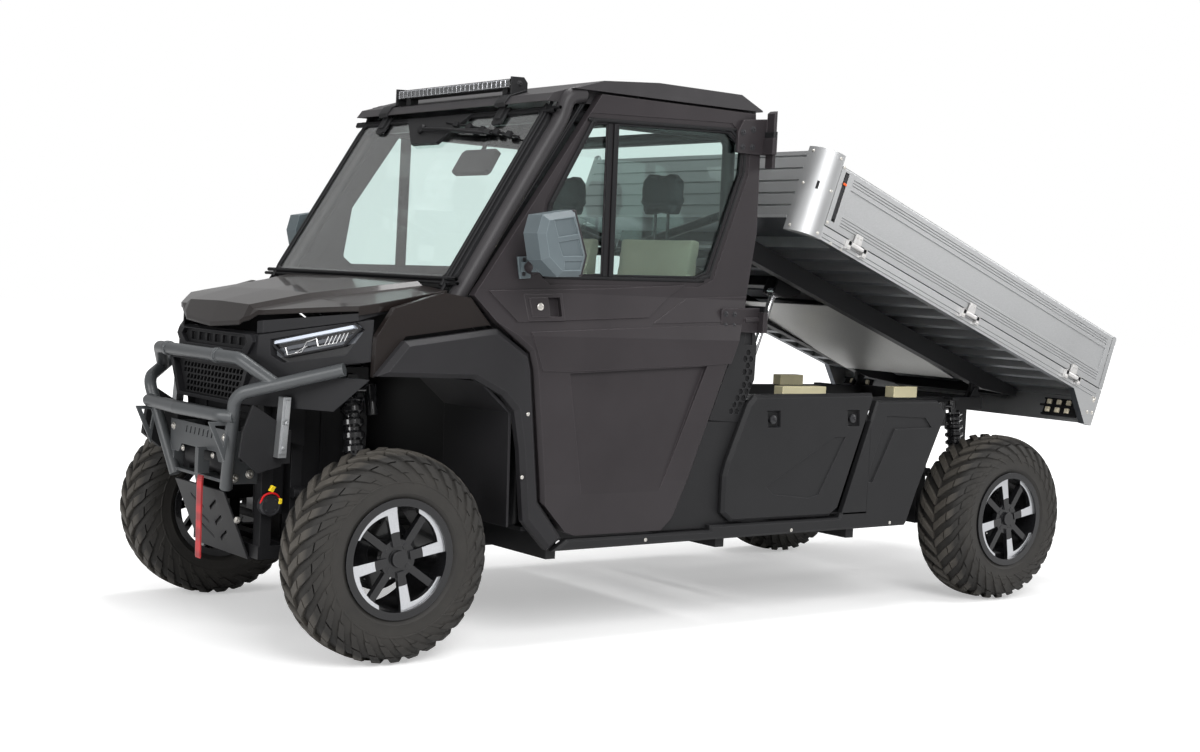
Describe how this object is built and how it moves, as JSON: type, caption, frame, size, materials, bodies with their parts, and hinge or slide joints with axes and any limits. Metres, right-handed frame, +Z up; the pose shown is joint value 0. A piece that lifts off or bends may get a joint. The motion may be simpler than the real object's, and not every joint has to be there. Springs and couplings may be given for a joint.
{
  "type": "side by side utility vehicle",
  "caption": "Two-seat off-road utility vehicle with an enclosed cab, steered knobbly wheels, opening doors and hood, side storage lids and a tipping flatbed with drop-down gates.",
  "frame": {"origin": "on the ground, at the centre of the vehicle's outline seen from above, bed raised as at rest", "axes": "+X forward, +Y to the vehicle's left, +Z up"},
  "size_m": [4.0339, 1.8, 1.95],
  "materials": {
    "frame_black": "satin black powder coat",
    "bumper_charcoal": "satin charcoal powder coat",
    "black_plastic": "grained black",
    "strap_red": "red webbing",
    "cast_black": "black",
    "cage_black": "satin black",
    "roof_grey": "grained dark grey",
    "cab_glass": "tinted safety glass",
    "seat_vinyl": "beige vinyl",
    "fascia_charcoal": "satin charcoal",
    "lamp_glass": "clear lens",
    "body_paint": "glossy brown-black metallic",
    "flare_plastic": "matte charcoal",
    "pad_cream": "cream polyurethane blocks",
    "bed_aluminium": "silver anodised",
    "tail_lamp_red": "red lens",
    "guard_sheet": "plain sheet",
    "chrome": "polished rod",
    "door_grey": "satin dark brown-grey",
    "mirror_grey": "cool grey",
    "tyre": "off-road tread",
    "rim_black": "gloss black with bright faces"
  },
  "bodies": {
    "chassis": {"frame": "frame_black", "skid_plate": "frame_black", "bumper": "bumper_charcoal", "winch": "black_plastic", "winch_strap": "strap_red", "suspension_arms": "frame_black", "rear_knuckles": "cast_black", "shocks": "frame_black", "engine": "cast_black", "drive_shafts": "cast_black", "cab_tub": "black_plastic", "cab_frame": "cage_black", "roof": "roof_grey", "cab_glass": "cab_glass", "dashboard": "black_plastic", "seat_cushions": "seat_vinyl", "seat_backs": "seat_vinyl", "light_bar": "black_plastic", "wiper": "black_plastic", "fascia": "fascia_charcoal", "grille": "black_plastic", "headlamps": "lamp_glass", "nose_covers": "black_plastic", "fenders": "body_paint", "fender_flares": "flare_plastic", "side_panels": "black_plastic", "rest_pads": "pad_cream"},
    "hood": {"hood": "body_paint"},
    "steering_wheel": {"steering_wheel": "black_plastic"},
    "knuckle_left": {"knuckle_left": "cast_black"},
    "knuckle_right": {"knuckle_right": "cast_black"},
    "wheel_fl": {"rim_fl": "rim_black", "tyre_fl": "tyre"},
    "wheel_fr": {"rim_fr": "rim_black", "tyre_fr": "tyre"},
    "wheel_rl": {"rim_rl": "rim_black", "tyre_rl": "tyre"},
    "wheel_rr": {"rim_rr": "rim_black", "tyre_rr": "tyre"},
    "door_left": {"door_left": "door_grey", "door_glass_left": "cab_glass", "mirror_left": "mirror_grey"},
    "door_right": {"door_right": "door_grey", "door_glass_right": "cab_glass", "mirror_right": "mirror_grey"},
    "storage_lid_left": {"storage_lid_left": "black_plastic"},
    "storage_lid_right": {"storage_lid_right": "black_plastic"},
    "bed": {"bed_frame": "frame_black", "bed_deck": "bed_aluminium", "headboard": "bed_aluminium", "tail_lamps": "tail_lamp_red", "bed_guard": "guard_sheet"},
    "gate_left": {"gate_left": "bed_aluminium"},
    "gate_right": {"gate_right": "bed_aluminium"},
    "tailgate": {"tailgate": "bed_aluminium"},
    "lift_barrel": {"lift_barrel": "frame_black"},
    "lift_rod": {"lift_rod": "chrome"}
  },
  "joints": [
    {"name": "steer_left", "type": "hinge", "parent": "chassis", "child": "knuckle_left", "pos_m": [1.575, 0.56, 0.343], "axis": [0, 0, 1], "range_deg": [-35, 35]},
    {"name": "steer_right", "type": "hinge", "parent": "chassis", "child": "knuckle_right", "pos_m": [1.575, -0.56, 0.343], "axis": [0, 0, 1], "range_deg": [-35, 35]},
    {"name": "steering_wheel_turn", "type": "hinge", "parent": "chassis", "child": "steering_wheel", "pos_m": [0.805, 0.32, 1.089], "axis": [-0.8971, 0, 0.4418], "range_deg": [-270, 270]},
    {"name": "wheel_fl_spin", "type": "hinge", "parent": "knuckle_left", "child": "wheel_fl", "pos_m": [1.575, 0.6525, 0.343], "axis": [0, 1, 0], "continuous": true},
    {"name": "wheel_fr_spin", "type": "hinge", "parent": "knuckle_right", "child": "wheel_fr", "pos_m": [1.575, -0.6525, 0.343], "axis": [0, 1, 0], "continuous": true},
    {"name": "wheel_rl_spin", "type": "hinge", "parent": "chassis", "child": "wheel_rl", "pos_m": [-1.345, 0.6525, 0.343], "axis": [0, 1, 0], "continuous": true},
    {"name": "wheel_rr_spin", "type": "hinge", "parent": "chassis", "child": "wheel_rr", "pos_m": [-1.345, -0.6525, 0.343], "axis": [0, 1, 0], "continuous": true},
    {"name": "door_left_hinge", "type": "hinge", "parent": "chassis", "child": "door_left", "pos_m": [0.08, 0.757, 1.45], "axis": [0, 0, 1], "range_deg": [0, 75]},
    {"name": "door_right_hinge", "type": "hinge", "parent": "chassis", "child": "door_right", "pos_m": [0.08, -0.757, 1.45], "axis": [0, 0, -1], "range_deg": [0, 75]},
    {"name": "hood_hinge", "type": "hinge", "parent": "chassis", "child": "hood", "pos_m": [1.375, 0, 1.214], "axis": [0, -1, 0], "range_deg": [0, 45]},
    {"name": "storage_lid_left_hinge", "type": "hinge", "parent": "chassis", "child": "storage_lid_left", "pos_m": [-0.075, 0.744, 0.395], "axis": [-1, 0, 0], "range_deg": [0, 80]},
    {"name": "storage_lid_right_hinge", "type": "hinge", "parent": "chassis", "child": "storage_lid_right", "pos_m": [-0.075, -0.744, 0.395], "axis": [1, 0, 0], "range_deg": [0, 80]},
    {"name": "bed_tilt", "type": "hinge", "parent": "chassis", "child": "bed", "pos_m": [-1.54984, 0, 0.84775], "axis": [0, -1, 0], "range_deg": [-19.7, 4.3]},
    {"name": "gate_left_hinge", "type": "hinge", "parent": "bed", "child": "gate_left", "pos_m": [-1.0306, 0.769, 1.18343], "axis": [-0.9415, 0, -0.3371], "range_deg": [0, 170]},
    {"name": "gate_right_hinge", "type": "hinge", "parent": "bed", "child": "gate_right", "pos_m": [-1.0306, -0.769, 1.18343], "axis": [0.9415, 0, 0.3371], "range_deg": [0, 170]},
    {"name": "tailgate_hinge", "type": "hinge", "parent": "bed", "child": "tailgate", "pos_m": [-1.92029, 0, 0.86488], "axis": [0, -1, 0], "range_deg": [0, 170]},
    {"name": "lift_swing", "type": "hinge", "parent": "chassis", "child": "lift_barrel", "pos_m": [-0.135, 0.2, 0.352], "axis": [0, 1, 0], "range_deg": [-8, 4]},
    {"name": "lift_stroke", "type": "slide", "parent": "lift_barrel", "child": "lift_rod", "axis": [-0.3519, 0, 0.9361], "range_m": [-0.4, 0.1]}
  ],
  "couplings": [
    {"joint": "steer_right", "follows": "steer_left", "ratio": 1},
    {"joint": "steering_wheel_turn", "follows": "steer_left", "ratio": 7.71},
    {"joint": "lift_swing", "follows": "bed_tilt", "ratio": 0.255},
    {"joint": "lift_stroke", "follows": "bed_tilt", "m_per_rad": 1.115}
  ]
}
